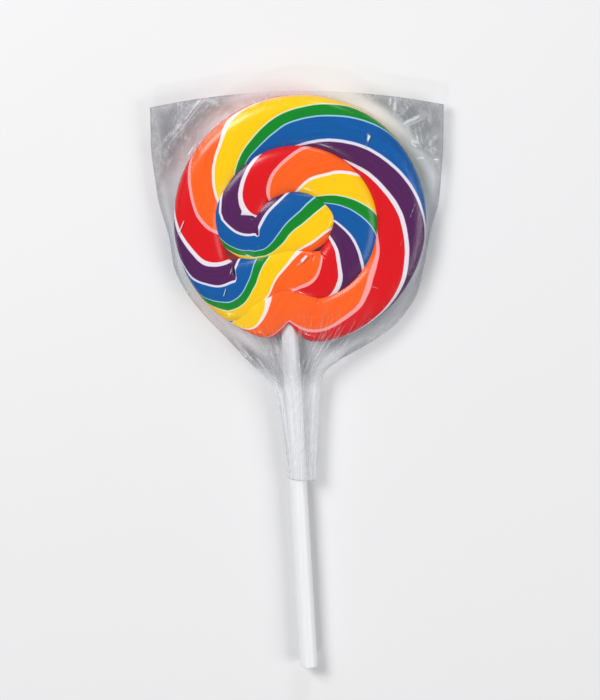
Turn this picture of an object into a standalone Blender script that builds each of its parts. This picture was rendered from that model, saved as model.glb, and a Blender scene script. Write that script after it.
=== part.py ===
"""Swirl lollipop in a clear film bag, lying on its back.

One coiled candy rope on a plastic stick, inside a film bag that is gathered round the stick.
Metres, +Z up. The disc's face looks along +Z and the stick points along -Y. The origin is on
the underside of the bag, below the middle of the disc.
"""

import math

import bmesh
import bpy
from mathutils import Matrix, Vector

# Candy rope, coiled and pressed into a disc
DISC_RADIUS = 0.039
CROWN_HEIGHT = 0.0045          # the rope's crown above the disc's middle plane
UNDERSIDE_DEPTH = 0.0041       # the back is flatter, as it cooled on a table
PRESSED_HEIGHT = 0.0034        # candy fills every gap between turns up to this height
PRESSED_RADIUS = 0.86          # and out to this share of the disc's radius
SECTION_POWER = 4.0            # superellipse: 2 is an oval, more is squarer
END_POWER = 2.4                # the same for the rope's ends, seen from above
ROPE_OVERLAP = 1.09            # how far each turn presses into the next
LEAST_BEND = 0.93              # share of the bend's radius that the inner side may fill
END_LENGTH = 0.20              # length over which the rope's ends narrow, in disc radii
END_ROUNDING = 0.09            # length over which their crown comes down
FULL_WIDTH = 0.18              # the crown is lower where the half width is less than this
END_SECTIONS = 6
SECTION_POINTS = 20
STATION_STEP = 0.075           # distance between sections, in disc radii

# The coil's route in disc radii: (x, y, half width). Its turns are arcs, the rest is by hand
CORE_ROUTE = (
    (0.262, -0.09, 0.20),
    (0.16, -0.045, 0.215),
    (0.03, -0.01, 0.235),
    (-0.12, -0.02, 0.24),
)
FOLD_TURN = {"centre": (-0.32, 0.06), "radius": 0.175, "half_width": 0.205}
FOLD_TURN_ANGLES = (272.0, 172.0)
INNER_TURN = {"centre": (-0.036, -0.036), "radius": 0.462, "half_width": 0.185}
INNER_TURN_ANGLES = (143.0, -52.0)
CROSSING_ROUTE = (
    (0.10, -0.435, 0.195),
    (-0.06, -0.40, 0.18),
    (-0.22, -0.42, 0.185),
    (-0.37, -0.495, 0.22),
    (-0.51, -0.545, 0.25),
    (-0.64, -0.505, 0.225),
    (-0.74, -0.395, 0.195),
)
OUTER_TURN = {"centre": (-0.0125, -0.0125), "radius": 0.8125, "half_width": 0.19}
OUTER_TURN_ANGLES = (197.0, -70.0)
TAIL_ROUTE = (
    (0.13, -0.805, 0.20),
    (-0.03, -0.765, 0.235),
    (-0.17, -0.765, 0.235),
    (-0.31, -0.795, 0.195),
    (-0.43, -0.825, 0.12),
    (-0.56, -0.825, 0.05),
)
ARC_STEP = 16.0                # degrees between the points that shape an arc

# Stick
STICK_RADIUS = 0.0027
STICK_IN_CANDY = 0.042
STICK_BELOW_DISC = 0.105
STICK_ENTRY_X = -0.0030        # the stick enters a little to the left of the middle
STICK_LEAN = math.radians(3.2)  # and leans back towards it
STICK_SEGMENTS = 24
STICK_EDGE = 0.0004
NOTCH_HEIGHT = 0.0062          # the candy splits open where the stick was pushed in
NOTCH_END_HEIGHT = 0.0040
NOTCH_SQUEEZE = 0.45           # the split is narrower than it is high
NOTCH_DEPTH = 0.0055

# Film bag
GAP = 0.0003
WALL = 0.0004
FLAP_THICKNESS = 0.0008
TOP_ARCH = 0.12                # how far the top edge rises in its middle, in disc radii
TOP_STEPS = 12
BAG_SIDES = (                  # left and right edge from the top corners down, in disc radii
    ((-1.18, 0.90), (1.13, 0.925)),
    ((-1.175, 0.55), (1.13, 0.58)),
    ((-1.12, 0.14), (1.10, 0.14)),
    ((-1.03, -0.14), (1.02, -0.09)),
    ((-0.98, -0.40), (0.975, -0.38)),
    ((-0.90, -0.60), (0.93, -0.62)),
    ((-0.76, -0.78), (0.77, -0.85)),
    ((-0.56, -0.985), (0.56, -1.00)),
    ((-0.40, -1.17), (0.355, -1.11)),
    ((-0.20, -1.33), (0.18, -1.20)),
)
NECK_RINGS = (                 # (y, offset from the stick's line, half width, half height)
    (-0.0495, 0.0020, 0.0074, 0.0043),
    (-0.0590, 0.0015, 0.0061, 0.0041),
    (-0.0685, 0.0012, 0.0054, 0.0038),
    (-0.0827, 0.0011, 0.0045, 0.0036),
)
NECK_SEGMENTS = 24
ENVELOPE_SEGMENTS = 72
EDGE_STEPS = 8

MIDDLE_Z = WALL + GAP + UNDERSIDE_DEPTH


def clear_scene():
    for item in list(bpy.data.objects):
        bpy.data.objects.remove(item, do_unlink=True)


def new_collection(name):
    collection = bpy.data.collections.new(name)
    bpy.context.scene.collection.children.link(collection)
    return collection


def new_material(name, color, roughness, metallic=0.0, alpha=1.0):
    material = bpy.data.materials.new(name)
    material.use_nodes = True
    principled = material.node_tree.nodes["Principled BSDF"]
    principled.inputs["Base Color"].default_value = (*color, 1.0)
    principled.inputs["Roughness"].default_value = roughness
    principled.inputs["Metallic"].default_value = metallic
    principled.inputs["Alpha"].default_value = alpha
    return material


def new_object(name, bm, collection, material=None):
    """Turns a bmesh into an object with its faces pointing out."""
    bmesh.ops.recalc_face_normals(bm, faces=bm.faces)
    mesh = bpy.data.meshes.new(name)
    bm.to_mesh(mesh)
    bm.free()
    item = bpy.data.objects.new(name, mesh)
    collection.objects.link(item)
    if material:
        mesh.materials.append(material)
        mesh.shade_smooth()
        mesh.set_sharp_from_angle(angle=math.radians(35))
    return item


def new_helper(name, bm, collection):
    item = new_object(name, bm, collection)
    item.hide_render = True
    item.display_type = "WIRE"
    return item


def add_boolean(item, other, operation):
    modifier = item.modifiers.new(f"{operation.lower()} {other.name}", "BOOLEAN")
    modifier.operation = operation
    modifier.object = other
    return modifier


def superellipse(angle, half_width, half_height, power=SECTION_POWER):
    """A point of a rounded box's outline: power 2 gives an oval."""
    across, up = math.cos(angle), math.sin(angle)
    return (
        math.copysign(half_width * abs(across) ** (2 / power), across),
        math.copysign(half_height * abs(up) ** (2 / power), up),
    )


def turn_points(turn, angles):
    """The points that shape one turn, from the first angle to the last, clockwise."""
    start, end = angles
    steps = max(1, round(abs(end - start) / ARC_STEP))
    for step in range(steps + 1):
        angle = math.radians(start + (end - start) * step / steps)
        x = turn["centre"][0] + turn["radius"] * math.cos(angle)
        y = turn["centre"][1] + turn["radius"] * math.sin(angle)
        yield (x, y, turn["half_width"])


def rope_route():
    """The whole route, from the middle of the disc to the tail."""
    return [
        *CORE_ROUTE,
        *turn_points(FOLD_TURN, FOLD_TURN_ANGLES),
        *turn_points(INNER_TURN, INNER_TURN_ANGLES),
        *CROSSING_ROUTE,
        *turn_points(OUTER_TURN, OUTER_TURN_ANGLES),
        *TAIL_ROUTE,
    ]


def catmull_rom(before, start, end, after, share):
    """A smooth curve's point between start and end."""
    return (
        2 * start
        + (end - before) * share
        + (2 * before - 5 * start + 4 * end - after) * share**2
        + (3 * start - before - 3 * end + after) * share**3
    ) / 2


def smooth_stations(route, step):
    """Points at about equal distances on the smooth curve through the route."""
    points = [Vector(point) for point in route]
    points = [2 * points[0] - points[1], *points, 2 * points[-1] - points[-2]]
    fine = []
    for i in range(1, len(points) - 2):
        for part in range(12):
            fine.append(catmull_rom(*points[i - 1 : i + 3], part / 12))
    fine.append(points[-2])
    lengths = [0.0]
    for first, second in zip(fine, fine[1:]):
        lengths.append(lengths[-1] + (second.xy - first.xy).length)
    stations, at = [], 0
    places = station_places(lengths[-1], step)
    for place in places:
        while at < len(lengths) - 2 and lengths[at + 1] < place:
            at += 1
        share = (place - lengths[at]) / (lengths[at + 1] - lengths[at])
        stations.append(fine[at].lerp(fine[at + 1], share))
    return stations, places


def station_places(length, step):
    """Distances of the sections along the rope, closer together at its rounded ends."""
    ends = [
        END_LENGTH * (1 - math.cos(math.pi / 2 * (part + 0.2) / END_SECTIONS))
        for part in range(END_SECTIONS)
    ]
    count = round((length - 2 * END_LENGTH) / step)
    middle = [END_LENGTH + (length - 2 * END_LENGTH) * part / count for part in range(count + 1)]
    return [*ends, *middle, *(length - place for place in reversed(ends))]


def turning_radius(before, here, after):
    """Radius of the bend at a station, positive where it bends to the right."""
    first, second = here - before, after - here
    turned = math.atan2(first.x * second.y - first.y * second.x, first.dot(second))
    return -(first.length + second.length) / 2 / turned if abs(turned) > 1e-6 else 1e6


def end_scale(along, length, rounding):
    """How much of the section is left at a distance from one of the rope's ends."""
    inside = min(along, length - along) / rounding
    return 1.0 if inside >= 1 else (1 - (1 - inside) ** END_POWER) ** (1 / END_POWER)


def rim_room(place, sideways):
    """How far the rope may reach sideways before it comes to the disc's rim."""
    out = place.dot(sideways)
    return math.sqrt(max(out * out + 1 - place.length_squared, 0)) - out


def build_rope():
    """Lofts the rope's pressed section along the coil."""
    stations, places = smooth_stations(rope_route(), STATION_STEP)
    length = places[-1] + places[0]
    bm = bmesh.new()
    rings = []
    for number, (station, along) in enumerate(zip(stations, places)):
        before = stations[max(number - 1, 0)].xy
        after = stations[min(number + 1, len(stations) - 1)].xy
        forward = (after - before).normalized()
        left = Vector((-forward.y, forward.x))
        bend = turning_radius(before, station.xy, after)
        room_left = min(rim_room(station.xy, left), LEAST_BEND * (-bend if bend < 0 else 1e6))
        room_right = min(rim_room(station.xy, -left), LEAST_BEND * (bend if bend > 0 else 1e6))
        half_width = station.z * ROPE_OVERLAP
        narrowing = end_scale(along, length, END_LENGTH)
        lowering = end_scale(along, length, END_ROUNDING) * math.sqrt(min(station.z / FULL_WIDTH, 1))
        ring = []
        for point in range(SECTION_POINTS):
            across, up = superellipse(math.tau * (point + 0.5) / SECTION_POINTS, 1, 1)
            width = min(half_width, room_left if across > 0 else room_right) * narrowing
            height = up * CROWN_HEIGHT * lowering
            place = (station.xy + left * across * width) * DISC_RADIUS
            height = max(height, -UNDERSIDE_DEPTH)
            ring.append(bm.verts.new((place.x, place.y, MIDDLE_Z + height)))
        rings.append(ring)
    for first, second in zip(rings, rings[1:]):
        for point in range(SECTION_POINTS):
            follow = (point + 1) % SECTION_POINTS
            bm.faces.new((first[point], first[follow], second[follow], second[point]))
    bm.faces.new(rings[0])
    bm.faces.new(rings[-1])
    return bm


def disc_profile(extra):
    """Half outline of the disc's envelope at its edge, from its top to its underside."""
    edge = OUTER_TURN["half_width"] * DISC_RADIUS
    top, bottom = CROWN_HEIGHT + extra, -UNDERSIDE_DEPTH - extra
    points = []
    for step in range(2 * EDGE_STEPS + 1):
        angle = math.pi / 2 - math.pi * step / (2 * EDGE_STEPS)
        across, up = superellipse(angle, edge + extra, top)
        points.append((DISC_RADIUS - edge + across, max(up, bottom)))
    return points


def turned_points(profile, segments):
    """The points of a profile turned round the disc's axis."""
    for step in range(segments):
        angle = math.tau * step / segments
        for across, up in profile:
            yield (across * math.cos(angle), across * math.sin(angle), MIDDLE_Z + up)


def stick_point(y):
    """The stick's middle line at this y."""
    drop = -DISC_RADIUS - y
    return Vector((STICK_ENTRY_X + drop * math.tan(STICK_LEAN), y, MIDDLE_Z))


def ring_points(y, offset, half_width, half_height):
    middle = stick_point(y) + Vector((offset, 0, 0))
    for point in range(NECK_SEGMENTS):
        angle = math.tau * point / NECK_SEGMENTS
        yield middle + Vector((half_width * math.cos(angle), 0, half_height * math.sin(angle)))


def build_pouch(extra):
    """The film pulled tight from the disc down to the neck."""
    bm = bmesh.new()
    y, offset, half_width, half_height = NECK_RINGS[0]
    wall = GAP + WALL - extra
    for place in (
        *turned_points(disc_profile(extra), ENVELOPE_SEGMENTS),
        *ring_points(y + wall, offset, half_width - wall, half_height - wall),
    ):
        bm.verts.new(place)
    bmesh.ops.convex_hull(bm, input=bm.verts)
    spare = [vert for vert in bm.verts if not vert.link_faces]
    bmesh.ops.delete(bm, geom=spare, context="VERTS")
    return bm


def build_neck():
    """The gathered film round the stick, a little into the pouch at its top."""
    bm = bmesh.new()
    y, *sizes = NECK_RINGS[0]
    rings = []
    for ring in ((y + 0.001, *sizes), *NECK_RINGS):
        rings.append([bm.verts.new(place) for place in ring_points(*ring)])
    for upper, lower in zip(rings, rings[1:]):
        for point in range(NECK_SEGMENTS):
            follow = (point + 1) % NECK_SEGMENTS
            bm.faces.new((upper[point], upper[follow], lower[follow], lower[point]))
    bm.faces.new(rings[0])
    bm.faces.new(rings[-1])
    return bm


def build_flaps():
    """The flat margins of the bag all round the disc, as one plate."""
    bm = bmesh.new()
    low = MIDDLE_Z - FLAP_THICKNESS / 2
    start, end = (Vector(corner) for corner in BAG_SIDES[0])
    top_edge = []
    for step in range(1, TOP_STEPS):
        share = step / TOP_STEPS
        rise = TOP_ARCH * (1 - (2 * share - 1) ** 2)
        top_edge.append(start.lerp(end, share) + Vector((0, rise)))
    lefts = [Vector(left) for left, _ in reversed(BAG_SIDES)]
    rights = [Vector(right) for _, right in BAG_SIDES]
    outline = [place * DISC_RADIUS for place in (*lefts, *top_edge, *rights)]
    face = bm.faces.new([bm.verts.new((place.x, place.y, low)) for place in outline])
    raised = bmesh.ops.extrude_face_region(bm, geom=[face])["geom"]
    tops = [item for item in raised if isinstance(item, bmesh.types.BMVert)]
    bmesh.ops.translate(bm, verts=tops, vec=(0, 0, FLAP_THICKNESS))
    return bm


def build_rod(radius, start_y, end_y, end_radius=None, squeeze=1.0):
    """A round or squeezed bar on the stick's middle line, from start_y down to end_y."""
    bm = bmesh.new()
    start, end = stick_point(start_y), stick_point(end_y)
    bmesh.ops.create_cone(
        bm,
        cap_ends=True,
        segments=STICK_SEGMENTS,
        radius1=radius,
        radius2=end_radius or radius,
        depth=(end - start).length,
        matrix=Matrix.Diagonal((squeeze, 1, 1, 1)),
    )
    turn = (end - start).to_track_quat("Z", "Y").to_matrix().to_4x4()
    bmesh.ops.transform(bm, matrix=Matrix.Translation((start + end) / 2) @ turn, verts=bm.verts)
    return bm


def build_candy(parts, cutters):
    material = new_material("boiled_sugar", (0.86, 0.20, 0.02), 0.12)
    candy = new_object("candy_swirl", build_rope(), parts, material)
    core = bmesh.new()
    bmesh.ops.create_cone(
        core,
        cap_ends=True,
        segments=48,
        radius1=PRESSED_RADIUS * DISC_RADIUS,
        radius2=PRESSED_RADIUS * DISC_RADIUS,
        depth=2 * PRESSED_HEIGHT,
    )
    bmesh.ops.translate(core, verts=core.verts, vec=(0, 0, MIDDLE_Z))
    union = add_boolean(candy, new_helper("pressed_middle", core, cutters), "UNION")
    union.use_self = True
    bore = build_rod(STICK_RADIUS + GAP, -DISC_RADIUS + STICK_IN_CANDY + GAP, -DISC_RADIUS - 0.004)
    add_boolean(candy, new_helper("stick_bore", bore, cutters), "DIFFERENCE")
    notch = build_rod(
        NOTCH_END_HEIGHT,
        -DISC_RADIUS + NOTCH_DEPTH,
        -DISC_RADIUS - GAP,
        NOTCH_HEIGHT,
        NOTCH_SQUEEZE,
    )
    add_boolean(candy, new_helper("entry_notch", notch, cutters), "DIFFERENCE")
    return candy


def build_stick(parts):
    material = new_material("white_plastic", (0.86, 0.87, 0.88), 0.35)
    rod = build_rod(STICK_RADIUS, -DISC_RADIUS + STICK_IN_CANDY, -DISC_RADIUS - STICK_BELOW_DISC)
    stick = new_object("stick", rod, parts, material)
    bevel = stick.modifiers.new("eased ends", "BEVEL")
    bevel.width = STICK_EDGE
    bevel.segments = 2
    bevel.limit_method = "ANGLE"
    bevel.angle_limit = math.radians(60)
    return stick


def build_bag(parts, cutters):
    material = new_material("clear_film", (0.92, 0.94, 0.96), 0.08, alpha=0.3)
    bag = new_object("film_bag", build_pouch(GAP + WALL), parts, material)
    add_boolean(bag, new_helper("flaps", build_flaps(), cutters), "UNION")
    add_boolean(bag, new_helper("neck", build_neck(), cutters), "UNION")
    add_boolean(bag, new_helper("pouch_inside", build_pouch(GAP), cutters), "DIFFERENCE")
    bore = build_rod(STICK_RADIUS + GAP, NECK_RINGS[0][0] + 0.004, NECK_RINGS[-1][0] - 0.002)
    add_boolean(bag, new_helper("neck_bore", bore, cutters), "DIFFERENCE")
    return bag


def main():
    clear_scene()
    parts = new_collection("swirl_lollipop")
    cutters = new_collection("cutters")
    build_candy(parts, cutters)
    build_stick(parts)
    build_bag(parts, cutters)


main()
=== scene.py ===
"""Looks of a swirl lollipop in a clear film bag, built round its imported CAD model.

The candy is one rope of pulled sugar with six twisted colours, coiled and pressed into a disc
on a white plastic stick. A clear film bag covers it and is gathered round the stick.
Metres, +Z up: the disc's face looks along +Z and the stick points along -Y.
"""

import logging
import math
from dataclasses import dataclass, field
from enum import Enum
from typing import Any, Iterator, Sequence

import bmesh
import bpy
import numpy as np
from mathutils import Matrix, Vector


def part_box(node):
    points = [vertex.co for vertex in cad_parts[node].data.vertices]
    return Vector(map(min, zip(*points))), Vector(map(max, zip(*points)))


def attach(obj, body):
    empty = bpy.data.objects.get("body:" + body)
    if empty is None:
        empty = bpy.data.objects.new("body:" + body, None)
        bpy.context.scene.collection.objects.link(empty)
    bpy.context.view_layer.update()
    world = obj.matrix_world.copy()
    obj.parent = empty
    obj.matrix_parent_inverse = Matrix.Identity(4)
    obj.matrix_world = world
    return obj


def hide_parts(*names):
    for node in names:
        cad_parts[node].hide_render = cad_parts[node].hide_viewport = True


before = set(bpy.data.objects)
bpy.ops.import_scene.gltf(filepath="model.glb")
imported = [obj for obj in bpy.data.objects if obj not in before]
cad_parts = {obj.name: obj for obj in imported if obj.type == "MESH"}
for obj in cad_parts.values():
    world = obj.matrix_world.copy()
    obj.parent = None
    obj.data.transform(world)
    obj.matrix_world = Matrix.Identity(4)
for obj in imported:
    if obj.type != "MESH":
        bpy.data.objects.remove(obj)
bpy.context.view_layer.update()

log = logging.getLogger("swirl_lollipop")

Knots = tuple[tuple[float, float], ...]
Colour = tuple[float, float, float]

DISC_RADIUS = 0.039
CROWN_HEIGHT = 0.0045
UNDERSIDE_DEPTH = 0.0041
MIDDLE_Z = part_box("candy_swirl")[0].z + UNDERSIDE_DEPTH
STRIPE_COUNT = 6
MERGE_DISTANCE = 1e-7


def linear(red: int, green: int, blue: int) -> Colour:
    """A colour given as 0 to 255 in sRGB, as linear values."""
    return tuple(
        part / 255 / 12.92 if part <= 10 else ((part / 255 + 0.055) / 1.055) ** 2.4
        for part in (red, green, blue)
    )


def eased(x: np.ndarray, low: float, high: float) -> np.ndarray:
    """Smooth step from 0 at low to 1 at high."""
    share = np.clip((x - low) / (high - low), 0, 1)
    return share * share * (3 - 2 * share)


def smoothed(places: np.ndarray, knots: Knots, reach: float) -> np.ndarray:
    """Values between knots, with their corners rounded.

    Args:
        places: where the values are wanted.
        knots: (place, value) pairs in rising order.
        reach: half length over which the corners are rounded.

    Returns:
        One value for each place.
    """
    at, value = np.array(knots).T
    offsets = np.linspace(-1, 1, 17)
    weights = 1 - offsets**2
    total = np.zeros(len(places))
    # past the ends the last slope goes on, so that rounding doesn't flatten them
    first = (value[1] - value[0]) / (at[1] - at[0])
    last = (value[-1] - value[-2]) / (at[-1] - at[-2])
    for offset, weight in zip(offsets, weights):
        where = places + offset * reach
        inside = np.interp(where, at, value)
        inside += np.minimum(where - at[0], 0) * first + np.maximum(where - at[-1], 0) * last
        total += weight * inside
    return total / weights.sum()


class Socket:
    """An output socket. Python's operators on it add Math nodes to its tree."""

    def __init__(self, tree: "Tree", socket: bpy.types.NodeSocket) -> None:
        """Keeps the socket and the tree that it belongs to."""
        self.tree = tree
        self.socket = socket

    def output(self, name: str) -> "Socket":
        """Another output of the same node."""
        return Socket(self.tree, self.tree.find(self.socket.node.outputs, name))

    def math(self, operation: str, *values: Any) -> "Socket":
        """A Math node with this socket first."""
        sockets = dict(enumerate((self, *values)))
        return self.tree.add("ShaderNodeMath", {"operation": operation}, sockets)

    def __add__(self, other: Any) -> "Socket":
        """Sum."""
        return self.math("ADD", other)

    def __radd__(self, other: Any) -> "Socket":
        """Sum with a number first."""
        return self.math("ADD", other)

    def __sub__(self, other: Any) -> "Socket":
        """Difference."""
        return self.math("SUBTRACT", other)

    def __rsub__(self, other: Any) -> "Socket":
        """Difference from a number."""
        return (self * -1) + other

    def __mul__(self, other: Any) -> "Socket":
        """Product."""
        return self.math("MULTIPLY", other)

    def __rmul__(self, other: Any) -> "Socket":
        """Product with a number first."""
        return self.math("MULTIPLY", other)

    def __truediv__(self, other: Any) -> "Socket":
        """Quotient."""
        return self.math("DIVIDE", other)

    def __mod__(self, other: Any) -> "Socket":
        """Remainder that is never negative."""
        return self.math("FLOORED_MODULO", other)

    def __pow__(self, other: Any) -> "Socket":
        """Power."""
        return self.math("POWER", other)

    def absolute(self) -> "Socket":
        """Size without its sign."""
        return self.math("ABSOLUTE")

    def at_least(self, other: Any) -> "Socket":
        """The larger of two values."""
        return self.math("MAXIMUM", other)

    def at_most(self, other: Any) -> "Socket":
        """The smaller of two values."""
        return self.math("MINIMUM", other)

    def ramp(self, low: float, high: float) -> "Socket":
        """Smooth step from 0 at low to 1 at high."""
        return self.tree.add(
            "ShaderNodeMapRange",
            {"interpolation_type": "SMOOTHSTEP"},
            {"Value": self, "From Min": low, "From Max": high},
        )


class Tree:
    """A node tree in the making. Every node comes from add."""

    def __init__(self, tree: bpy.types.NodeTree) -> None:
        """Keeps the tree and empties it."""
        self.tree = tree
        tree.nodes.clear()

    @staticmethod
    def find(sockets: Any, key: str | int) -> bpy.types.NodeSocket:
        """The socket with this number, identifier or name."""
        if isinstance(key, int):
            return sockets[key]
        for socket in sockets:
            if socket.identifier == key:
                return socket
        return next(socket for socket in sockets if socket.name == key and socket.enabled)

    def add(
        self,
        kind: str,
        settings: dict[str, Any] | None = None,
        sockets: dict[str | int, Any] | None = None,
        output: str | int = 0,
    ) -> Socket:
        """Adds a node.

        Args:
            kind: the node's type.
            settings: its properties, set before anything is linked.
            sockets: values or Socket links for its inputs, by number, identifier or name.
            output: which output is wanted.

        Returns:
            That output.
        """
        node = self.tree.nodes.new(kind)
        for name, value in (settings or {}).items():
            setattr(node, name, value)
        for key, value in (sockets or {}).items():
            target = self.find(node.inputs, key)
            if isinstance(value, Socket):
                self.tree.links.new(value.socket, target)
            else:
                target.default_value = value
        if not node.outputs:
            return Socket(self, None)
        return Socket(self, self.find(node.outputs, output))

    def mix(self, factor: Any, first: Any, second: Any, blend: str = "MIX") -> Socket:
        """A colour between two others, each a Socket or three numbers."""
        whole = [x if isinstance(x, Socket) else (*x, 1.0) for x in (first, second)]
        return self.add(
            "ShaderNodeMix",
            {"data_type": "RGBA", "blend_type": blend},
            {"Factor_Float": factor, "A_Color": whole[0], "B_Color": whole[1]},
            "Result_Color",
        )

    def noise(
        self, vector: Socket, scale: float, detail: float = 2.0, rough: float = 0.5
    ) -> Socket:
        """Noise from about 0 to 1 at a place."""
        return self.add(
            "ShaderNodeTexNoise",
            {"noise_dimensions": "3D"},
            {"Vector": vector, "Scale": scale, "Detail": detail, "Roughness": rough},
        )

    def stretched(self, vector: Socket, scale: Sequence[float], turn: float = 0.0) -> Socket:
        """A vector turned about Z and then scaled along each axis."""
        turned = self.add("ShaderNodeMapping", {}, {"Vector": vector, "Rotation": (0, 0, turn)})
        return self.add(
            "ShaderNodeVectorMath", {"operation": "MULTIPLY"}, {0: turned, 1: tuple(scale)}
        )

    def bump(self, height: Socket, distance: float, strength: float = 1.0) -> Socket:
        """A normal from a height."""
        return self.add(
            "ShaderNodeBump",
            {},
            {"Strength": strength, "Distance": distance, "Height": height},
        )

    def surface(self, shader: Socket) -> None:
        """Makes this shader the material's surface."""
        self.add("ShaderNodeOutputMaterial", {}, {"Surface": shader})


def new_material(name: str) -> tuple[bpy.types.Material, Tree, Socket]:
    """A material, its tree and the place on the piece that its patterns read."""
    material = bpy.data.materials.new(name)
    material.use_nodes = True
    tree = Tree(material.node_tree)
    return material, tree, tree.add("ShaderNodeTexCoord", {}, {}, "Object")


@dataclass(frozen=True)
class Stripe:
    """One colour of the candy and the thin line at its start, in sixths of the rope's twist."""

    width: float
    colour: Colour
    line_width: float
    line_colour: Colour


@dataclass(frozen=True)
class CandyFinish:
    """Glossy boiled sugar with twisted stripes."""

    stripes: tuple[Stripe, ...] = (
        Stripe(1.10, linear(255, 208, 0), 0.12, linear(245, 240, 240)),
        Stripe(0.55, linear(0, 140, 38), 0.06, linear(215, 235, 205)),
        Stripe(1.10, linear(0, 94, 168), 0.06, linear(165, 212, 240)),
        Stripe(1.00, linear(88, 32, 92), 0.13, linear(235, 230, 245)),
        Stripe(1.15, linear(226, 12, 24), 0.19, linear(240, 234, 244)),
        Stripe(1.10, linear(255, 104, 26), 0.13, linear(255, 168, 168)),
    )
    edge: float = 0.018
    roughness: float = 0.24
    coat: float = 0.15

    def material(self) -> bpy.types.Material:
        """Stripes across the rope from its UV map, with streaks pulled along it."""
        material, tree, place = new_material("boiled_sugar")
        uv = tree.add("ShaderNodeUVMap", {"uv_map": "stripe"})
        parts = tree.add("ShaderNodeSeparateXYZ", {}, {"Vector": uv})
        along, across = parts, parts.output("Y")
        wander = tree.noise(tree.stretched(place, (1, 1, 1)), 160, 3)
        twist = across + (wander - 0.5) * 0.07
        turn = twist % STRIPE_COUNT
        colour: Any = self.stripes[0].colour
        start = 0.0
        for stripe, following in zip(self.stripes, self.stripes[1:]):
            start += stripe.width
            step = turn.ramp(start - self.edge, start + self.edge)
            colour = tree.mix(step, colour, following.colour)
        grain = tree.add(
            "ShaderNodeCombineXYZ", {}, {"X": along * 2.2, "Y": across * 9.0, "Z": 0.0}
        )
        streaks = tree.noise(grain, 1.6, 5, 0.62)
        fine = tree.noise(tree.stretched(grain, (0.8, 4.0, 1)), 1.7, 3, 0.6)
        dark = (streaks - 0.46).ramp(-0.16, 0.34) * 0.34
        colour = tree.mix(dark, colour, (0.0, 0.0, 0.0), "SOFT_LIGHT")
        light = (fine - 0.56).ramp(0.0, 0.22) * 0.22
        colour = tree.mix(light, colour, (1.0, 0.97, 0.95), "SOFT_LIGHT")
        start = 0.0
        half_turn = STRIPE_COUNT / 2
        for stripe in self.stripes:
            away = ((turn - start + half_turn) % STRIPE_COUNT - half_turn).absolute()
            half = stripe.line_width / 2
            line = 1 - away.ramp(half - self.edge, half + self.edge)
            colour = tree.mix(line * 0.94, colour, stripe.line_colour)
            start += stripe.width
        height = streaks * 0.5 + tree.noise(place, 420, 3) * 0.5
        shader = tree.add(
            "ShaderNodeBsdfPrincipled",
            {},
            {
                "Base Color": colour,
                "Roughness": (streaks * 0.16) + (self.roughness - 0.08),
                "Coat Weight": self.coat,
                "Coat Roughness": 0.10,
                "Specular IOR Level": 0.28,
                "Normal": tree.bump(height, 0.00010),
            },
        )
        tree.surface(shader)
        return material


@dataclass(frozen=True)
class PressedFinish:
    """Sugar squeezed up between the coils, where the colours ran together."""

    colour: Colour = linear(150, 40, 30)

    def material(self) -> bpy.types.Material:
        """Dark mixed sugar."""
        material, tree, place = new_material("pressed_sugar")
        patches = tree.noise(place, 130, 4)
        colour = tree.mix(patches.ramp(0.35, 0.65), self.colour, linear(60, 34, 60))
        tree.surface(
            tree.add("ShaderNodeBsdfPrincipled", {}, {"Base Color": colour, "Roughness": 0.3})
        )
        return material


@dataclass(frozen=True)
class StickFinish:
    """White plastic with a faint drawn grain."""

    colour: Colour = linear(240, 241, 243)

    def material(self) -> bpy.types.Material:
        """Fine lines along the stick and slight unevenness."""
        material, tree, place = new_material("white_plastic")
        drawn = tree.noise(tree.stretched(place, (900, 26, 900)), 1.0, 3)
        cloudy = tree.noise(place, 180, 3)
        colour = tree.mix(drawn.ramp(0.3, 0.8) * 0.5, self.colour, linear(222, 225, 230))
        shader = tree.add(
            "ShaderNodeBsdfPrincipled",
            {},
            {
                "Base Color": colour,
                "Roughness": cloudy * 0.14 + 0.27,
                "Normal": tree.bump(drawn + cloudy * 0.4, 0.00004),
            },
        )
        tree.surface(shader)
        return material


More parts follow.
